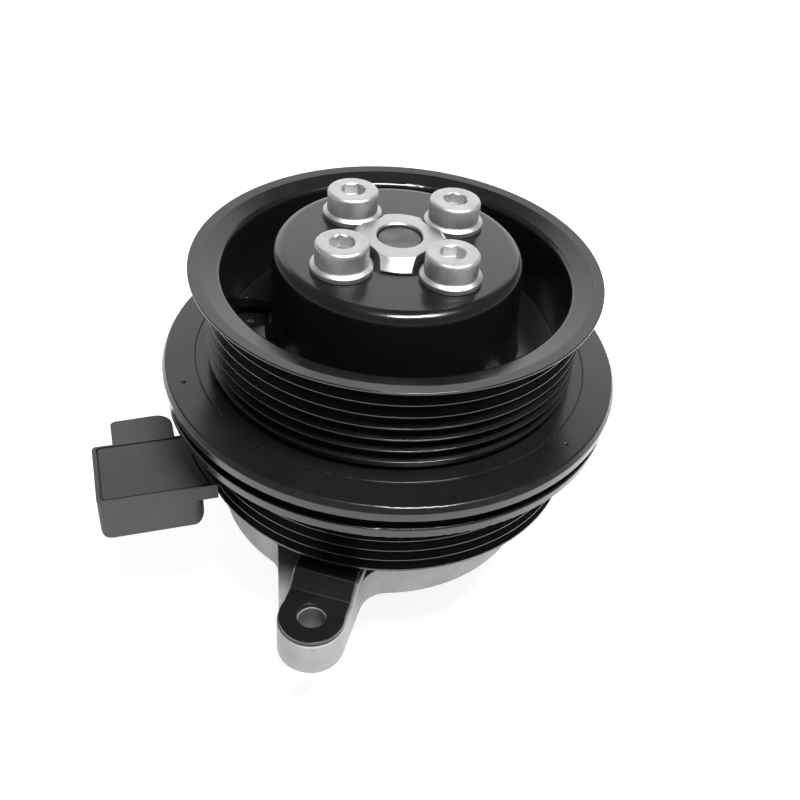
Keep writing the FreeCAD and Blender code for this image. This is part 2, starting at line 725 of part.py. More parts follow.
# ---- fixed pieces ---------------------------------------------------------------------------
def root_fillet(flank, inward, outward, body_centre, radius, low, high):
    """Concave fillet between an ear's flank and the round body."""
    offset = flank + outward * radius - body_centre
    reach = BODY_R + radius
    along = offset.dot(inward)
    travel = -along - math.sqrt(along * along - offset.dot(offset) + reach * reach)
    centre = body_centre + offset + inward * travel
    on_flank = centre - outward * radius
    on_body = body_centre + (centre - body_centre) * (BODY_R / reach)
    deep = body_centre + (on_flank - body_centre) * 0.85
    plan = [(point.x, point.y) for point in (deep, on_flank, centre, on_body)]
    return prism(plan, low, high).cut(cylinder(radius, low - BEYOND, high + BEYOND, centre))


def ear_blank(angle, low, high):
    """One ear in plan, pointing along +X: straight on one side, flared on the other."""
    hole_r = EAR_HOLE_CIRCLE_R
    slope = math.radians(21.0)
    flare = math.tan(slope)
    inner = 40.0
    side = EAR_TIP_R
    neck = prism([
        (inner, -side - flare * (hole_r - inner)),
        (hole_r, -side),
        (hole_r, side),
        (inner, side),
    ], low, high)
    tip = cylinder(side, low, high, FreeCAD.Vector(hole_r, 0, 0))
    body_centre = polar(BODY_SHIFT_X, -angle)
    straight = root_fillet(FreeCAD.Vector(hole_r, side, 0), FreeCAD.Vector(-1, 0, 0),
                           FreeCAD.Vector(0, 1, 0), body_centre, 8.0, low, high)
    flared = root_fillet(FreeCAD.Vector(hole_r, -side, 0),
                         FreeCAD.Vector(-math.cos(slope), -math.sin(slope), 0),
                         FreeCAD.Vector(math.sin(slope), -math.cos(slope), 0),
                         body_centre, 6.0, low, high)
    return neck.multiFuse([tip, straight, flared]).removeSplitter()


def ear_shoulder():
    """Raised root of an ear, sloping down to the level of its bolt pad."""
    setback = FOOT_BEND_SETBACK + 0.3
    inner = BODY_BORE_R - BEYOND
    outline = [
        (inner, 0.0),
        (FOOT_SLOPE_END_R - setback, 0.0),
        (FOOT_SLOPE_END_R - setback, EAR_TOP_Z),
        (FOOT_SLOPE_START_R - setback, BODY_TOP_Z),
        (inner, BODY_TOP_Z),
    ]
    return side_prism(outline, -EAR_TIP_R, EAR_TIP_R)


def housing_turning():
    """The turned form of the housing: pilot, flange disc, snout, bores and seal seat."""
    half_groove = ORING_WIRE_R + 0.05
    groove_top = 2 * ORING_WIRE_R + 0.05
    disc_r = BODY_BORE_R + BEYOND
    shoulder_r = 23.2
    clip_groove_r = SNOUT_R - 1.1
    clip_groove_top = BEARING_TOP_Z + 1.85
    drain_r = 13.0
    drain_low_z = 5.5
    web_bore_r = 9.5
    section = [
        (SEAL_CUP_R, -PILOT_DEPTH, 0.4),
        (PILOT_R, -PILOT_DEPTH, 0.8),
        (PILOT_R, 0),
        (ORING_R - half_groove, 0),
        (ORING_R - half_groove, groove_top),
        (ORING_R + half_groove, groove_top),
        (ORING_R + half_groove, 0),
        (disc_r, 0),
        (disc_r, BODY_TOP_Z),
        (shoulder_r, BODY_TOP_Z, 1.0),
        (shoulder_r, BEARING_LOW_Z, 0.3),
        (SNOUT_R, BEARING_LOW_Z),
        (SNOUT_R, BEARING_TOP_Z),
        (clip_groove_r, BEARING_TOP_Z),
        (clip_groove_r, clip_groove_top),
        (SNOUT_R, clip_groove_top),
        (SNOUT_R, SNOUT_TOP_Z, 0.6),
        (SLEEVE_R, SNOUT_TOP_Z, 0.3),
        (SLEEVE_R, SLEEVE_LOW_Z),
        (drain_r, SLEEVE_LOW_Z),
        (drain_r, drain_low_z),
        (web_bore_r, drain_low_z),
        (web_bore_r, SEAL_CUP_TOP_Z),
        (SEAL_CUP_R, SEAL_CUP_TOP_Z),
    ]
    return revolved(section)


def pump_housing():
    """Cast housing with three ears, a lightened underside and a weep hole."""
    shift = FreeCAD.Vector(BODY_SHIFT_X, 0, 0)
    above = BODY_TOP_Z + BEYOND
    bore = cylinder(BODY_BORE_R, -BEYOND, above)
    disc = cylinder(BODY_R, 0, BODY_TOP_Z, shift).cut(bore)
    ears = []
    for angle in EAR_ANGLES:
        blank = ear_blank(angle, 0, EAR_TOP_Z).fuse(ear_shoulder())
        ears.append(turned(blank.cut(bore), angle))
    casting = housing_turning().multiFuse([disc] + ears).removeSplitter()
    pocket = sector_ring(36.6, 42.6, -BEYOND, 9.0, 30)
    cutters = around(pocket, 9, 17.4)
    for angle in EAR_ANGLES:
        cutters.append(cylinder(EAR_HOLE_R, -BEYOND, above, polar(EAR_HOLE_CIRCLE_R, angle)))
    weep_start = FreeCAD.Vector(0, 0, 7.6)
    weep = Part.makeCylinder(2.0, 60.0, weep_start, FreeCAD.Vector(0, 1, 0))
    cutters.append(weep.cut(cylinder(11.0, 0, 20)))
    screw_place = polar(PLATE_SCREW_CIRCLE_R, 0)
    thread_hole = cylinder(PLATE_SCREW_R + FIT, BODY_TOP_Z - 7.0, above, screw_place)
    cutters += around(thread_hole, PLATE_SCREWS, PLATE_SCREW_START)
    return casting.cut(cutters)


def plate_foot(angle):
    """A foot of the coil plate: flat, stepped down, then a rounded pad on the ear."""
    top = BODY_TOP_Z + PLATE_THICKNESS
    pad_top = EAR_TOP_Z + PLATE_THICKNESS
    inner = PLATE_R - 2.0
    end = EAR_HOLE_CIRCLE_R
    side = [
        (inner, top),
        (FOOT_SLOPE_START_R, top, 1.0),
        (FOOT_SLOPE_END_R, pad_top, 0.5),
        (end, pad_top),
        (end, EAR_TOP_Z),
        (FOOT_SLOPE_END_R - FOOT_BEND_SETBACK, EAR_TOP_Z),
        (FOOT_SLOPE_START_R - FOOT_BEND_SETBACK, BODY_TOP_Z),
        (inner, BODY_TOP_Z),
    ]
    strip = side_prism(side, -FOOT_HALF_WIDTH, FOOT_HALF_WIDTH)
    pad = cylinder(FOOT_TIP_R, EAR_TOP_Z, pad_top, FreeCAD.Vector(end, 0, 0))
    pad = pad.cut(cylinder(FOOT_SLOPE_END_R, 0, LIP_TOP_Z))
    return turned(strip.fuse(pad).removeSplitter(), angle)


def coil_plate():
    """Pressed plate that carries the coil and stands on the housing and its ears."""
    top = BODY_TOP_Z + PLATE_THICKNESS
    disc = ring(PLATE_BORE_R, PLATE_R, BODY_TOP_Z, top)
    plate = disc.multiFuse([plate_foot(angle) for angle in EAR_ANGLES]).removeSplitter()
    cutters = []
    for angle in EAR_ANGLES:
        cutters.append(cylinder(FOOT_HOLE_R, 0, LIP_TOP_Z, polar(EAR_HOLE_CIRCLE_R, angle)))
    screw_hole = cylinder(PLATE_SCREW_R + 0.3, 0, LIP_TOP_Z, polar(PLATE_SCREW_CIRCLE_R, 0))
    cutters += around(screw_hole, PLATE_SCREWS, PLATE_SCREW_START)
    return plate.cut(cutters)


def coil_plate_screws():
    """Small pan-head screws that hold the coil plate down."""
    tip = BODY_TOP_Z - 6.0
    seat = BODY_TOP_Z + PLATE_THICKNESS
    top = seat + 1.4
    head_r = 3.2
    section = [
        (0, tip),
        (PLATE_SCREW_R, tip),
        (PLATE_SCREW_R, seat),
        (head_r, seat),
        (head_r, top, 0.5),
        (0, top),
    ]
    slot_end = 2.0
    slot_half = 0.35
    slot_floor = seat + 0.5
    slots = [box(-slot_end, slot_end, -slot_half, slot_half, slot_floor, top + BEYOND)]
    slots.append(turned(slots[0], 90))
    screw = revolved(section).cut(slots)
    screw.translate(polar(PLATE_SCREW_CIRCLE_R, 0))
    return around(screw, PLATE_SCREWS, PLATE_SCREW_START)


def coil_core():
    """Steel shell that holds the winding, open towards the rotor."""
    low = BODY_TOP_Z + PLATE_THICKNESS
    floor = low + CORE_FLOOR
    section = [
        (CORE_INNER_R, low),
        (CORE_OUTER_R, low, 0.8),
        (CORE_OUTER_R, CORE_TOP_Z, 0.4),
        (CORE_OUTER_R - CORE_WALL, CORE_TOP_Z),
        (CORE_OUTER_R - CORE_WALL, floor),
        (CORE_INNER_R + CORE_WALL, floor),
        (CORE_INNER_R + CORE_WALL, CORE_TOP_Z),
        (CORE_INNER_R, CORE_TOP_Z, 0.4),
    ]
    outside = -CORE_OUTER_R - BEYOND
    exit_slot = box(outside, -44.0, CHANNEL_LOW, CHANNEL_HIGH, low - BEYOND, floor)
    return revolved(section).cut(turned(exit_slot, CONNECTOR_TURN))


def coil_bobbin():
    """Moulded bobbin inside the core."""
    low = BODY_TOP_Z + PLATE_THICKNESS + CORE_FLOOR
    inner = CORE_INNER_R + CORE_WALL
    outer = CORE_OUTER_R - CORE_WALL
    section = [
        (inner, low),
        (outer, low),
        (outer, low + BOBBIN_WALL),
        (inner + BOBBIN_WALL, low + BOBBIN_WALL),
        (inner + BOBBIN_WALL, COIL_TOP_Z),
        (outer, COIL_TOP_Z),
        (outer, COIL_TOP_Z + BOBBIN_WALL),
        (inner, COIL_TOP_Z + BOBBIN_WALL),
    ]
    return revolved(section)


def coil_winding():
    """Copper winding as one body with a lightly ribbed outside."""
    low = BODY_TOP_Z + PLATE_THICKNESS + CORE_FLOOR + BOBBIN_WALL
    inner = CORE_INNER_R + CORE_WALL + BOBBIN_WALL
    outer = CORE_OUTER_R - CORE_WALL - 0.3
    layers = 12
    depth = 0.25
    step = (COIL_TOP_Z - low) / layers
    section = [(inner, low)]
    for i in range(layers):
        section.append((outer - depth, low + i * step))
        section.append((outer, low + (i + 0.5) * step))
    section += [(outer - depth, COIL_TOP_Z), (inner, COIL_TOP_Z)]
    return revolved(section)


def coil_potting():
    """Resin that closes the core over the bobbin."""
    low = COIL_TOP_Z + BOBBIN_WALL
    return ring(CORE_INNER_R + CORE_WALL, CORE_OUTER_R - CORE_WALL, low, CORE_TOP_Z - 0.4)


def snout_circlip():
    """External circlip that keeps the rotor bearing on the snout."""
    low = BEARING_TOP_Z
    return split_ring(SNOUT_R - 1.05, SNOUT_R + 1.9, low, low + 1.75, 0.7, 6.0)


def bearing_inner_ring():
    """Inner ring of the rotor bearing with two raceways."""
    rim = ring(SNOUT_R, ROTOR_BALL_INNER_R, BEARING_LOW_Z, BEARING_TOP_Z)
    return rim.cut([torus(ROTOR_BALL_CIRCLE_R, ROTOR_BALL_R + FIT, z) for z in ROTOR_BALL_ROWS])


def shaft_bearing_sleeve():
    """Outer sleeve of the shaft bearing with two raceways."""
    sleeve = ring(SHAFT_BALL_OUTER_R, SLEEVE_R, SLEEVE_LOW_Z, SLEEVE_TOP_Z)
    return sleeve.cut([torus(SHAFT_BALL_CIRCLE_R, SHAFT_BALL_R + FIT, z) for z in SHAFT_BALL_ROWS])


def shaft_bearing_seals():
    """Rubber seals at both ends of the shaft bearing."""
    gap = 0.06
    low = ring(SHAFT_R + gap, SHAFT_BALL_OUTER_R, SLEEVE_LOW_Z + 0.6, SLEEVE_LOW_Z + 2.0)
    high = ring(SHAFT_R + gap, SHAFT_BALL_OUTER_R, SLEEVE_TOP_Z - 2.0, SLEEVE_TOP_Z - 0.6)
    return [low, high]


def seal_cup():
    """Drawn cup of the face seal, pressed into the housing."""
    wall = 0.6
    brim_z = -PILOT_DEPTH + 1.0
    hole_r = 9.6
    section = [
        (SEAL_CUP_R - wall, brim_z),
        (SEAL_CUP_R, brim_z),
        (SEAL_CUP_R, SEAL_CUP_TOP_Z, 0.5),
        (hole_r, SEAL_CUP_TOP_Z),
        (hole_r, SEAL_CUP_TOP_Z - wall),
        (SEAL_CUP_R - wall, SEAL_CUP_TOP_Z - wall),
    ]
    return revolved(section)


def seal_bellows():
    """Rubber bellows between the cup and the carbon ring."""
    wall = 0.7
    top_z = 2.4
    step = 1.5
    outer = []
    inner = []
    for i, radius in enumerate((15.6, 14.4, 15.6, 14.4)):
        outer.append((radius, top_z - i * step))
        inner.append((radius - wall, top_z - i * step))
    return revolved(outer + inner[::-1])


def seal_spring():
    """Coil spring that presses the carbon ring on its mating ring."""
    wire_r = 0.45
    coil_r = 10.6
    pitch = 1.25
    rise = 3.0
    start_z = -1.1
    path = Part.makeHelix(pitch, rise, coil_r)
    circle = Part.Circle(FreeCAD.Vector(coil_r, 0, 0), FreeCAD.Vector(0, 1, 0), wire_r)
    profile = Part.Wire([circle.toShape()])
    spring = Part.Wire(path.Edges).makePipeShell([profile], True, True)
    spring.translate(FreeCAD.Vector(0, 0, start_z))
    return spring


def seal_carbon_ring():
    """Carbon sealing ring, held still by the bellows."""
    section = [
        (8.3, -1.6),
        (8.3, SEAL_FACE_Z + 0.6),
        (9.0, SEAL_FACE_Z),
        (11.4, SEAL_FACE_Z),
        (12.0, SEAL_FACE_Z + 0.8),
        (13.6, SEAL_FACE_Z + 0.8),
        (13.6, -1.6),
    ]
    return revolved(section)


def housing_seal_ring():
    """Seal ring in the mounting face, just touching the plane it seals against."""
    return torus(ORING_R, ORING_WIRE_R, ORING_WIRE_R)


# ---- connector ------------------------------------------------------------------------------
def connector_plan(end_inset, side_inset, corner):
    """Plan of the connector between its free end and the cut that clears the rotor."""
    return [
        (CONNECTOR_END + end_inset, CONNECTOR_FRONT + side_inset, corner),
        (CONNECTOR_INNER, CONNECTOR_FRONT + side_inset),
        (CONNECTOR_INNER, CONNECTOR_REAR - side_inset),
        (CONNECTOR_END + end_inset, CONNECTOR_REAR - side_inset, corner),
    ]


def connector_block():
    """Lower block of the connector, rounded along its bottom ends and beside the rotor."""
    top = CONNECTOR_TOP_Z - RIM_THICKNESS / 2.0
    elevation = [
        (CONNECTOR_END, top),
        (CONNECTOR_END, CONNECTOR_LOW_Z, 3.0),
        (CONNECTOR_NEAR, CONNECTOR_LOW_Z, 3.0),
        (CONNECTOR_NEAR, top),
    ]
    plan = [
        (CONNECTOR_END, CONNECTOR_FRONT, CONNECTOR_CORNER_R),
        (CONNECTOR_NEAR, CONNECTOR_FRONT, 3.0),
        (CONNECTOR_NEAR, CONNECTOR_REAR, 1.0),
        (CONNECTOR_END, CONNECTOR_REAR, CONNECTOR_CORNER_R),
    ]
    block = side_prism(elevation, CONNECTOR_FRONT, CONNECTOR_REAR)
    return block.common(prism(plan, CONNECTOR_LOW_Z, top))


def latch_tab():
    """Flat tab behind the rim, with one large and one small rounded corner."""
    root = CONNECTOR_REAR - 1.0
    plan = [
        (-77.5, root),
        (-60.8, root),
        (-60.8, CONNECTOR_REAR + 10.3, 4.5),
        (-77.5, CONNECTOR_REAR + 9.8, 1.6),
    ]
    return prism(plan, CONNECTOR_TOP_Z - 3.2, CONNECTOR_TOP_Z - 0.3)


def lead_tongue():
    """Covered channel from the block to the coil's exit slot."""
    wall = 1.6
    low = CHANNEL_LOW - wall
    high = CHANNEL_HIGH + wall
    tongue = box(-62.0, -40.0, low, high, TONGUE_LOW_Z, TONGUE_TOP_Z)
    return tongue.cut(cylinder(CORE_OUTER_R + 0.15, 0, LIP_TOP_Z))


def connector_cutters():
    """The lid's recess, wire chamber, socket mouth, key, lead channel and terminal slots."""
    lid_low = CONNECTOR_TOP_Z - LID_THICKNESS
    recess_plan = connector_plan(LID_END_INSET, LID_SIDE_INSET, 1.0)
    recess = prism(recess_plan, lid_low, CONNECTOR_TOP_Z + BEYOND)
    recess = recess.cut(cylinder(CONNECTOR_CLEAR_R + LID_END_INSET, 0, LIP_TOP_Z))
    front = CONNECTOR_FRONT + CHAMBER_WALL
    rear = CONNECTOR_REAR - CHAMBER_WALL
    chamber = box(-67.0, -57.6, front, rear, MOUTH_LOW_Z - 0.4, lid_low + BEYOND)
    front = CONNECTOR_FRONT + MOUTH_WALL
    rear = CONNECTOR_REAR - MOUTH_WALL
    outside = CONNECTOR_END - BEYOND
    mouth = box(outside, MOUTH_BOTTOM, front, rear, MOUTH_LOW_Z, MOUTH_HIGH_Z)
    key = box(outside, MOUTH_BOTTOM, -12.6, -8.6, MOUTH_HIGH_Z - 0.2, MOUTH_HIGH_Z + BEYOND)
    channel = box(-60.8, -40.0, CHANNEL_LOW, CHANNEL_HIGH, CHANNEL_FLOOR_Z, MOUTH_LOW_Z + 0.4)
    cutters = [recess, chamber, mouth, key, channel]
    for side in TERMINAL_SIDES:
        low = side - TERMINAL_HALF_WIDTH
        high = side + TERMINAL_HALF_WIDTH
        top = TERMINAL_Z + TERMINAL_THICKNESS
        cutters.append(box(-70.0, -66.0, low, high, TERMINAL_Z, top))
    return cutters


def connector_housing():
    """Moulded connector: rim, lower block with a socket mouth, latch tab and tongue."""
    rim_plan = connector_plan(0.0, 0.0, CONNECTOR_CORNER_R)
    rim = prism(rim_plan, CONNECTOR_TOP_Z - RIM_THICKNESS, CONNECTOR_TOP_Z)
    rim = rim.cut(cylinder(CONNECTOR_CLEAR_R, 0, LIP_TOP_Z))
    solid = rim.multiFuse([connector_block(), latch_tab(), lead_tongue()]).removeSplitter()
    return turned(solid.cut(connector_cutters()), CONNECTOR_TURN)


def connector_lid():
    """Nearly flush lid over the connector's wire chamber."""
    end_inset = LID_END_INSET + LID_SEAM
    plan = connector_plan(end_inset, LID_SIDE_INSET + LID_SEAM, 0.8)
    lid = prism(plan, CONNECTOR_TOP_Z - LID_THICKNESS, CONNECTOR_TOP_Z - LID_DROP)
    lid = lid.cut(cylinder(CONNECTOR_CLEAR_R + end_inset, 0, LIP_TOP_Z))
    return turned(lid, CONNECTOR_TURN)


def connector_terminals():
    """Two flat blades that run from the socket mouth into the wire chamber."""
    tip = -80.5
    shoulder = -79.5
    inner = -62.0
    tip_half = 0.5
    blades = []
    for side in TERMINAL_SIDES:
        outline = [
            (tip, side - tip_half),
            (shoulder, side - TERMINAL_HALF_WIDTH),
            (inner, side - TERMINAL_HALF_WIDTH),
            (inner, side + TERMINAL_HALF_WIDTH),
            (shoulder, side + TERMINAL_HALF_WIDTH),
            (tip, side + tip_half),
        ]
        blade = prism(outline, TERMINAL_Z, TERMINAL_Z + TERMINAL_THICKNESS)
        blades.append(turned(blade, CONNECTOR_TURN))
    return blades


def connector_seal():
    """Rubber seal around the inside of the socket mouth."""
    band = 1.2
    front = CONNECTOR_FRONT + MOUTH_WALL
    rear = CONNECTOR_REAR - MOUTH_WALL
    low = MOUTH_LOW_Z
    high = MOUTH_HIGH_Z
    outer_end = MOUTH_BOTTOM - band
    seal = box(outer_end, MOUTH_BOTTOM, front, rear, low, high)
    hole = box(outer_end - BEYOND, MOUTH_BOTTOM + BEYOND, front + band, rear - band,
               low + band, high - band)
    return turned(seal.cut(hole), CONNECTOR_TURN)


def lead_wires():
    """Two insulated leads from the coil's exit slot to the terminals."""
    wires = []
    wire_r = 0.7
    edge = 1.1
    level = CHANNEL_FLOOR_Z + 1.12
    end_z = TERMINAL_Z + TERMINAL_THICKNESS / 2.0
    for lane, side in zip((CHANNEL_LOW + edge, CHANNEL_HIGH - edge), TERMINAL_SIDES):
        points = [
            FreeCAD.Vector(-45.4, lane, level),
            FreeCAD.Vector(-57.8, lane, level),
            FreeCAD.Vector(-59.6, lane, 18.4),
            FreeCAD.Vector(-60.2, side, end_z),
            FreeCAD.Vector(-61.9, side, end_z),
        ]
        wires.append(turned(tube_path(points, wire_r), CONNECTOR_TURN))
    return wires


def build_nodes():
    """Every node's solids by name."""
    return {
        "front_pulley": front_pulley(),
        "pulley_screws": pulley_screws(),
        "screw_washers": screw_washers(),
        "drive_hub": drive_hub(),
        "pump_shaft": pump_shaft(),
        "leaf_springs": leaf_springs(),
        "spring_pulley_rivets": spring_pulley_rivets(),
        "impeller": impeller(),
        "seal_mating_ring": seal_mating_ring(),
        "armature_carrier": armature_carrier(),
        "friction_plate": friction_plate(),
        "friction_rivets": friction_rivets(),
        "spring_armature_rivets": spring_armature_rivets(),
        "rotor_pulley": rotor_pulley(),
        "rotor_circlip": rotor_circlip(),
        "rotor_bearing_outer_ring": bearing_outer_ring(),
        "rotor_bearing_seals": bearing_seals(),
        "rotor_bearing_balls": ball_rows(ROTOR_BALL_CIRCLE_R, ROTOR_BALL_R, ROTOR_BALL_ROWS,
                                         ROTOR_BALL_COUNT),
        "rotor_bearing_cages": ball_cages(ROTOR_BALL_CIRCLE_R, ROTOR_BALL_R, ROTOR_BALL_ROWS,
                                          ROTOR_BALL_COUNT, 2.4, 3.9),
        "shaft_bearing_balls": ball_rows(SHAFT_BALL_CIRCLE_R, SHAFT_BALL_R, SHAFT_BALL_ROWS,
                                         SHAFT_BALL_COUNT),
        "shaft_bearing_cages": ball_cages(SHAFT_BALL_CIRCLE_R, SHAFT_BALL_R, SHAFT_BALL_ROWS,
                                          SHAFT_BALL_COUNT, 1.8, 3.0),
        "pump_housing": pump_housing(),
        "rotor_bearing_inner_ring": bearing_inner_ring(),
        "snout_circlip": snout_circlip(),
        "shaft_bearing_sleeve": shaft_bearing_sleeve(),
        "shaft_bearing_seals": shaft_bearing_seals(),
        "coil_plate": coil_plate(),
        "coil_plate_screws": coil_plate_screws(),
        "coil_core": coil_core(),
        "coil_bobbin": coil_bobbin(),
        "coil_winding": coil_winding(),
        "coil_potting": coil_potting(),
        "seal_cup": seal_cup(),
        "seal_bellows": seal_bellows(),
        "seal_spring": seal_spring(),
        "seal_carbon_ring": seal_carbon_ring(),
        "housing_seal_ring": housing_seal_ring(),
        "connector_housing": connector_housing(),
        "connector_lid": connector_lid(),
        "connector_terminals": connector_terminals(),
        "connector_seal": connector_seal(),
        "lead_wires": lead_wires(),
    }


os.makedirs("parts", exist_ok=True)
for node, solids in build_nodes().items():
    save(node, solids)
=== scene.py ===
"""Looks for a coolant pump with an electromagnetic clutch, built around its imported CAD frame.

Lengths are metres in the CAD frame: origin on the shaft axis, +Z towards the front pulley."""
import math

import bpy
from mathutils import Matrix, Vector


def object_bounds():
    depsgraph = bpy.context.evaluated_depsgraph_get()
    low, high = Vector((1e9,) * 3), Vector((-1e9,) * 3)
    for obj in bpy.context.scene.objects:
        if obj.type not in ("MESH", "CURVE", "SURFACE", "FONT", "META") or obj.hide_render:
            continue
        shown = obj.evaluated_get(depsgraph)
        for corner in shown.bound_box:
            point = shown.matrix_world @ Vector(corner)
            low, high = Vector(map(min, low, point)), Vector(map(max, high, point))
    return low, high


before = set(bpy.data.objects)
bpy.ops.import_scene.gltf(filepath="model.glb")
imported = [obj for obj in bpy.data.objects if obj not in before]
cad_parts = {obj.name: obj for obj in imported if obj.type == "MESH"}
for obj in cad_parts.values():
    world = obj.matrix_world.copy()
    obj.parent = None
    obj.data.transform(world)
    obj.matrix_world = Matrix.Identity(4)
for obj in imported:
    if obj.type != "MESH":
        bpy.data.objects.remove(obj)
cad_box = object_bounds()
MM = 0.001

# Finishes
EDGE_FLAT = 0.99            # cosine between the rounded and the true normal on an open face
EDGE_SHARP = 0.80           # the same cosine close to a sharp edge
EDGE_ROUGHNESS = 0.14       # coatings are shinier along edges
WORN_EDGE = 0.12            # how much steel shows through a coating's edges
PAINTED_SHADE_REACH = 22 * MM   # painted shade: a casting darkens where other surfaces are nearer than this

# Stage
FLOOR_HALF = 3.0
FLOOR_GAP = 0.2 * MM
LIGHT_AIM = Vector((0, 0, 0.045))
CAMERA_PLACE = Vector((0.0, -0.2216, 0.2152))
CAMERA_AIM = Vector((0.0039, 0.0, 0.0314))
CAMERA_ROLL = math.radians(5.33)
CAMERA_LENS = 44.63         # millimetres, on a sensor 36 mm wide


# ---- shader building ------------------------------------------------------------------------
class Shader:
    """One node material, with short ways to add the patterns that the finishes share."""

    def __init__(self, name):
        self.material = bpy.data.materials.new(name)
        self.material.use_nodes = True
        self.tree = self.material.node_tree
        self.tree.nodes.clear()
        output = self.node("ShaderNodeOutputMaterial")
        self.surface = self.node("ShaderNodeBsdfPrincipled")
        self.tree.links.new(self.surface.outputs[0], output.inputs["Surface"])
        self.position = self.node("ShaderNodeTexCoord").outputs["Object"]

    def node(self, kind, inputs=None, **settings):
        node = self.tree.nodes.new(kind)
        for key, value in settings.items():
            setattr(node, key, value)
        for key, value in (inputs or {}).items():
            self.feed(node.inputs[key], value)
        return node

    def feed(self, socket, value):
        if isinstance(value, bpy.types.NodeSocket):
            self.tree.links.new(value, socket)
        else:
            socket.default_value = value

    def maths(self, operation, a, b=0.0):
        return self.node("ShaderNodeMath", {0: a, 1: b}, operation=operation).outputs[0]

    def span(self, value, low, high, to_low=0.0, to_high=1.0):
        """The value mapped from one range onto another, and kept inside it."""
        inputs = {"From Min": low, "From Max": high, "To Min": to_low, "To Max": to_high, "Value": value}
        return self.node("ShaderNodeMapRange", inputs).outputs[0]

    def noise(self, size, detail=2.0, vector=None):
        """Noise whose features are about this size in metres, from 0 to 1."""
        inputs = {"Vector": vector or self.position, "Scale": 1.0 / size, "Detail": detail}
        return self.node("ShaderNodeTexNoise", inputs).outputs[0]

    def turning(self, pitch):
        """Fine random rings about the shaft axis, as a turning tool leaves them."""
        flat = self.node("ShaderNodeVectorMath", {0: self.position, 1: (1, 1, 0)}, operation="MULTIPLY")
        radius = self.node("ShaderNodeVectorMath", {0: flat.outputs[0]}, operation="LENGTH")
        height = self.node("ShaderNodeSeparateXYZ", {0: self.position}).outputs["Z"]
        along = self.maths("ADD", radius.outputs["Value"], height)
        rings = self.node("ShaderNodeTexNoise", {"W": along, "Scale": 1.0 / pitch, "Detail": 3.0},
                          noise_dimensions="1D")
        return rings.outputs[0]

    def edge(self, radius):
        """Nearness to a sharp edge, from 0 on open faces to 1, and the normal rounded over it."""
        bevel = self.node("ShaderNodeBevel", {"Radius": radius}, samples=6)
        plain = self.node("ShaderNodeNewGeometry").outputs["Normal"]
        dot = self.node("ShaderNodeVectorMath", {0: bevel.outputs[0], 1: plain}, operation="DOT_PRODUCT")
        return self.span(dot.outputs["Value"], EDGE_FLAT, EDGE_SHARP), bevel.outputs[0]

    def blend(self, factor, a, b):
        """A colour between two colours."""
        node = self.node("ShaderNodeMix", {"Factor": factor}, data_type="RGBA")
        self.feed(node.inputs[6], a)
        self.feed(node.inputs[7], b)
        return node.outputs[2]

    def relief(self, layers, normal=None):
        """Bump from (height, depth in metres) layers, stacked on a normal."""
        for height, depth in layers:
            inputs = {"Height": height, "Distance": depth, "Strength": 1.0}
            if normal is not None:
                inputs["Normal"] = normal
            normal = self.node("ShaderNodeBump", inputs).outputs[0]
        return normal

    def set(self, **values):
        for key, value in values.items():
            self.feed(self.surface.inputs[key.replace("_", " ")], value)
        return self.material


def grey(value, warmth=0.0):
    """A grey, a little redder and less blue where it is warm."""
    return (value * (1 + warmth), value, value * (1 - warmth), 1.0)


def coated_steel(name, level, rough, peel=5e-6, rings=0.0, bevel=0.10 * MM):
    """Black coating over steel: soft orange peel, faint haze, and thin, shiny coating along edges."""
    s = Shader(name)
    haze = s.noise(14 * MM, 3.0)
    fine = s.noise(0.25 * MM, 2.0)
    edge, normal = s.edge(bevel)
    patchy = s.span(s.noise(1.6 * MM, 3.0), 0.35, 0.65)
    wear = s.maths("MULTIPLY", s.maths("MULTIPLY", edge, patchy), WORN_EDGE)
    body = s.blend(haze, grey(level * 0.8), grey(level * 1.25))
    colour = s.blend(wear, body, grey(0.32))
    roughness = s.span(haze, 0.3, 0.7, rough - 0.05, rough + 0.05)
    roughness = s.maths("ADD", roughness, s.span(fine, 0.2, 0.8, -0.03, 0.03))
    roughness = s.maths("SUBTRACT", roughness, s.maths("MULTIPLY", edge, rough - EDGE_ROUGHNESS))
    layers = [(s.noise(0.9 * MM, 2.0), peel), (fine, 1.5e-6)]
    if rings:
        layers.append((s.turning(0.35 * MM), rings))
    return s.set(Base_Color=colour, Metallic=s.maths("MULTIPLY", wear, 0.8), Roughness=roughness,
                 Specular_IOR_Level=0.5, Normal=s.relief(layers, normal))


def bare_metal(name, level, rough, grain=2e-6, rings=0.0, ring_pitch=0.3 * MM, dull=0.7):
    """Bare or plated metal with cloudy tarnish, fine grain, a painted highlight that pales its edges and, if
    asked, turning rings.
    """
    s = Shader(name)
    cloud = s.noise(6 * MM, 4.0)
    fine = s.noise(0.18 * MM, 3.0)
    edge, normal = s.edge(0.25 * MM)
    body = s.blend(s.span(cloud, 0.3, 0.7), grey(level * dull), grey(level))
    # Painted highlight: the colour pales along sharp edges.
    colour = s.blend(s.maths("MULTIPLY", edge, 0.5), body, grey(level * 1.25))
    roughness = s.span(cloud, 0.3, 0.7, rough - 0.05, rough + 0.06)
    roughness = s.maths("ADD", roughness, s.span(fine, 0.2, 0.8, -0.04, 0.04))
    layers = [(fine, grain)]
    if rings:
        layers.append((s.turning(ring_pitch), rings))
    return s.set(Base_Color=colour, Metallic=1.0, Roughness=roughness, Normal=s.relief(layers, normal))


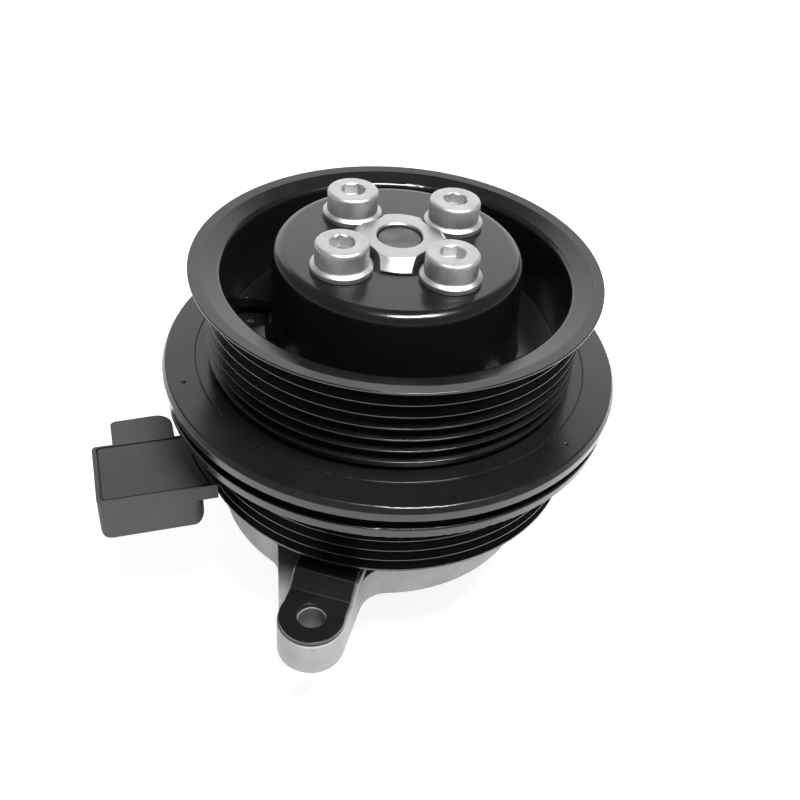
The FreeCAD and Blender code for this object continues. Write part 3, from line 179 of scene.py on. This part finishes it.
def blasted_casting(name):
    """Fine-blasted cast aluminium: matte, mottled, pitted, with painted shade where it is shut in and a
    painted highlight along its edges.
    """
    s = Shader(name)
    cloud = s.noise(9 * MM, 4.0)
    grain = s.noise(0.35 * MM, 4.0)
    pits = s.span(s.noise(1.3 * MM, 2.0), 0.62, 0.72)
    edge, normal = s.edge(0.5 * MM)
    body = s.blend(s.span(cloud, 0.3, 0.7), grey(0.25, 0.01), grey(0.34, 0.01))
    body = s.blend(s.maths("MULTIPLY", pits, 0.35), body, grey(0.18))
    body = s.blend(s.span(grain, 0.3, 0.7, 0.0, 0.25), body, grey(0.48))
    # Painted highlight: the colour pales to light grey along sharp edges.
    colour = s.blend(s.maths("MULTIPLY", edge, 0.5), body, grey(0.80))
    # Painted shade: the colour darkens to near black where other surfaces close the casting in.
    shade_probe = s.node("ShaderNodeAmbientOcclusion", {"Distance": PAINTED_SHADE_REACH}, samples=8)
    unshaded_share = s.maths("POWER", shade_probe.outputs["AO"], 1.5)
    colour = s.blend(s.span(unshaded_share, 0.0, 0.7), grey(0.03), colour)
    roughness = s.span(grain, 0.25, 0.75, 0.48, 0.66)
    layers = [(s.noise(3.5 * MM, 2.0), 3e-5), (grain, 2.2e-5), (s.maths("MULTIPLY", pits, -1.0), 3e-5)]
    return s.set(Base_Color=colour, Metallic=0.35, Roughness=roughness, Normal=s.relief(layers, normal))


def moulded(name, level, rough, grain=6e-6, warmth=0.0):
    """Moulded plastic with a fine spark-eroded grain and a painted highlight that pales its edges."""
    s = Shader(name)
    cloud = s.noise(8 * MM, 3.0)
    grains = s.noise(0.30 * MM, 2.0)
    edge, normal = s.edge(0.15 * MM)
    body = s.blend(s.span(cloud, 0.3, 0.7), grey(level * 0.85, warmth), grey(level * 1.15, warmth))
    # Painted highlight: the colour pales along sharp edges.
    colour = s.blend(s.maths("MULTIPLY", edge, 0.35), body, grey(min(0.6, level * 2.2), warmth))
    roughness = s.span(grains, 0.25, 0.75, rough - 0.07, rough + 0.07)
    layers = [(s.noise(2.5 * MM, 2.0), 1.0e-5), (grains, grain)]
    return s.set(Base_Color=colour, Roughness=roughness, Normal=s.relief(layers, normal))


def tinted(name, colour, metallic, rough):
    """A coloured inner material, such as copper, brass or a polyamide cage."""
    s = Shader(name)
    cloud = s.noise(4 * MM, 3.0)
    fine = s.noise(0.3 * MM, 2.0)
    dark = tuple(c * 0.7 for c in colour[:3]) + (1.0,)
    body = s.blend(s.span(cloud, 0.3, 0.7), dark, colour)
    roughness = s.span(fine, 0.2, 0.8, rough - 0.06, rough + 0.06)
    return s.set(Base_Color=body, Metallic=metallic, Roughness=roughness, Normal=s.relief([(fine, 3e-6)]))


FINISHES = {
    "pulley_coat": coated_steel("pulley_coat", 0.0045, 0.20),
    "armature_coat": coated_steel("armature_coat", 0.006, 0.22, peel=3e-6, rings=1.5e-6,
                                  bevel=0.30 * MM),
    "rotor_coat": coated_steel("rotor_coat", 0.005, 0.22),
    "plate_coat": coated_steel("plate_coat", 0.006, 0.26, peel=4e-6, bevel=0.30 * MM),
    "zinc": bare_metal("zinc", 0.55, 0.46, grain=7e-6, dull=0.78),
    "nose_steel": bare_metal("nose_steel", 0.50, 0.34, grain=3e-6, rings=6e-6, ring_pitch=0.35 * MM,
                             dull=0.80),
    "shaft_steel": bare_metal("shaft_steel", 0.20, 0.50, grain=1.5e-5, rings=3e-6, dull=0.45),
    "friction_steel": bare_metal("friction_steel", 0.22, 0.35, grain=2e-6, rings=4e-6),
    "core_steel": bare_metal("core_steel", 0.35, 0.40, grain=4e-6, rings=5e-6),
    "spring_steel": bare_metal("spring_steel", 0.24, 0.30, grain=2e-6),
    "bearing_steel": bare_metal("bearing_steel", 0.62, 0.18, grain=5e-7, rings=1e-6),
    "cast_aluminium": blasted_casting("cast_aluminium"),
    "dark_plastic": moulded("dark_plastic", 0.024, 0.55),
    "lid_plastic": moulded("lid_plastic", 0.019, 0.55, grain=5e-6),
    "impeller_plastic": moulded("impeller_plastic", 0.028, 0.40, warmth=0.06),
    "bobbin_plastic": moulded("bobbin_plastic", 0.10, 0.45),
    "resin": moulded("resin", 0.020, 0.22, grain=2e-6),
    "rubber": moulded("rubber", 0.014, 0.62, grain=8e-6),
    "wire_cover": moulded("wire_cover", 0.05, 0.35),
    "carbon": moulded("carbon", 0.022, 0.30, grain=2e-6),
    "ceramic": moulded("ceramic", 0.10, 0.20, grain=1e-6),
    "copper": tinted("copper", (0.72, 0.30, 0.14, 1.0), 1.0, 0.30),
    "brass": tinted("brass", (0.78, 0.62, 0.32, 1.0), 1.0, 0.28),
    "cage_plastic": tinted("cage_plastic", (0.45, 0.34, 0.17, 1.0), 0.0, 0.45),
}

NODE_FINISH = {
    "pulley_coat": ["front_pulley"],
    "armature_coat": ["armature_carrier", "spring_armature_rivets"],
    "rotor_coat": ["rotor_pulley"],
    "plate_coat": ["coil_plate"],
    "zinc": ["pulley_screws", "screw_washers", "spring_pulley_rivets", "friction_rivets", "coil_plate_screws",
             "seal_cup"],
    "nose_steel": ["drive_hub"],
    "shaft_steel": ["pump_shaft"],
    "friction_steel": ["friction_plate"],
    "core_steel": ["coil_core"],
    "spring_steel": ["leaf_springs", "rotor_circlip", "snout_circlip", "seal_spring"],
    "bearing_steel": ["rotor_bearing_outer_ring", "rotor_bearing_inner_ring", "rotor_bearing_balls",
                      "shaft_bearing_balls", "shaft_bearing_sleeve"],
    "cast_aluminium": ["pump_housing"],
    "dark_plastic": ["connector_housing"],
    "lid_plastic": ["connector_lid"],
    "impeller_plastic": ["impeller"],
    "bobbin_plastic": ["coil_bobbin"],
    "resin": ["coil_potting"],
    "rubber": ["rotor_bearing_seals", "shaft_bearing_seals", "seal_bellows", "housing_seal_ring",
               "connector_seal"],
    "wire_cover": ["lead_wires"],
    "carbon": ["seal_carbon_ring"],
    "ceramic": ["seal_mating_ring"],
    "copper": ["coil_winding"],
    "brass": ["connector_terminals"],
    "cage_plastic": ["rotor_bearing_cages", "shaft_bearing_cages"],
}


def paint(obj, material):
    """Give every slot of an object the same material."""
    if not obj.material_slots:
        obj.data.materials.append(material)
    for slot in obj.material_slots:
        slot.material = material


for finish, names in NODE_FINISH.items():
    for name in names:
        paint(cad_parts[name], FINISHES[finish])


# ---- stage, light and camera ----------------------------------------------------------------
def floor_material():
    """Pale sheet that looks white, and lights the object less than its brightness would."""
    s = Shader("pale_floor")
    path = s.node("ShaderNodeLightPath").outputs
    glow = s.blend(s.noise(0.4, 2.0), grey(0.47), grey(0.50))
    glow = s.blend(path["Is Diffuse Ray"], glow, grey(0.15))
    glow = s.blend(path["Is Camera Ray"], glow, grey(0.86))
    body = s.blend(path["Is Diffuse Ray"], grey(0.88), grey(0.30))
    body = s.blend(path["Is Camera Ray"], body, grey(0.35))
    return s.set(Base_Color=body, Roughness=0.9, Normal=s.relief([(s.noise(1.0 * MM, 2.0), 1e-5)]),
                 Emission_Color=glow, Emission_Strength=1.0)


def make_floor(height):
    """A pale sheet on the ground."""
    mesh = bpy.data.meshes.new("floor")
    signs = [(-1, -1), (1, -1), (1, 1), (-1, 1)]
    corners = [(x * FLOOR_HALF, y * FLOOR_HALF, height) for x, y in signs]
    mesh.from_pydata(corners, [], [(0, 1, 2, 3)])
    floor = bpy.data.objects.new("floor", mesh)
    bpy.context.scene.collection.objects.link(floor)
    floor.data.materials.append(floor_material())


def area_light(name, azimuth, elevation, distance, width, height, watts, mirrored=True):
    """A soft box that looks at the middle of the object, seen in reflections or not."""
    turn = math.radians(azimuth)
    rise = math.radians(elevation)
    away = Vector((math.cos(rise) * math.cos(turn), math.cos(rise) * math.sin(turn), math.sin(rise)))
    data = bpy.data.lights.new(name, "AREA")
    data.shape = "RECTANGLE"
    data.size = width
    data.size_y = height
    data.energy = watts
    light = bpy.data.objects.new(name, data)
    light.location = LIGHT_AIM + away * distance
    light.rotation_euler = away.to_track_quat("Z", "Y").to_euler()
    light.visible_glossy = mirrored
    bpy.context.scene.collection.objects.link(light)


def make_world():
    """White for the camera, and for the object a dim room that is paler near the horizon."""
    world = bpy.data.worlds.new("studio")
    world.use_nodes = True
    tree = world.node_tree
    tree.nodes.clear()

    def node(kind, links=(), **values):
        made = tree.nodes.new(kind)
        for key, value in values.items():
            made.inputs[key.replace("_", " ")].default_value = value
        for key, source in links:
            tree.links.new(source, made.inputs[key])
        return made

    direction = node("ShaderNodeTexCoord").outputs["Generated"]
    height = node("ShaderNodeSeparateXYZ", [(0, direction)]).outputs["Z"]
    level = node("ShaderNodeMapRange", [("Value", height)], From_Min=0.15, From_Max=0.60,
                 To_Min=0.34, To_Max=0.14)
    room = node("ShaderNodeBackground", [("Color", level.outputs[0])])
    white = node("ShaderNodeBackground", Color=(1, 1, 1, 1))
    seen = node("ShaderNodeLightPath").outputs["Is Camera Ray"]
    both = node("ShaderNodeMixShader", [(0, seen), (1, room.outputs[0]), (2, white.outputs[0])])
    node("ShaderNodeOutputWorld", [("Surface", both.outputs[0])])
    bpy.context.scene.world = world


def make_camera():
    """A close viewpoint above the front ear, a little rolled."""
    data = bpy.data.cameras.new("camera")
    data.lens = CAMERA_LENS
    data.sensor_width = 36.0
    data.clip_start = 0.01
    camera = bpy.data.objects.new("camera", data)
    level = (CAMERA_AIM - CAMERA_PLACE).to_track_quat("-Z", "Y").to_matrix().to_4x4()
    roll = Matrix.Rotation(CAMERA_ROLL, 4, "Z")
    camera.matrix_world = Matrix.Translation(CAMERA_PLACE) @ level @ roll
    bpy.context.scene.collection.objects.link(camera)
    bpy.context.scene.camera = camera


make_floor(cad_box[0][2] - FLOOR_GAP)
area_light("key_overhead", azimuth=-55, elevation=70, distance=0.80, width=0.36, height=0.12, watts=14.0)
area_light("back_wall", azimuth=97, elevation=24, distance=1.1, width=1.9, height=0.85, watts=7.4)
area_light("front_fill", azimuth=-105, elevation=25, distance=1.1, width=0.9, height=0.6, watts=1.7,
           mirrored=False)
make_world()
make_camera()
bpy.context.scene.view_settings.view_transform = "Standard"
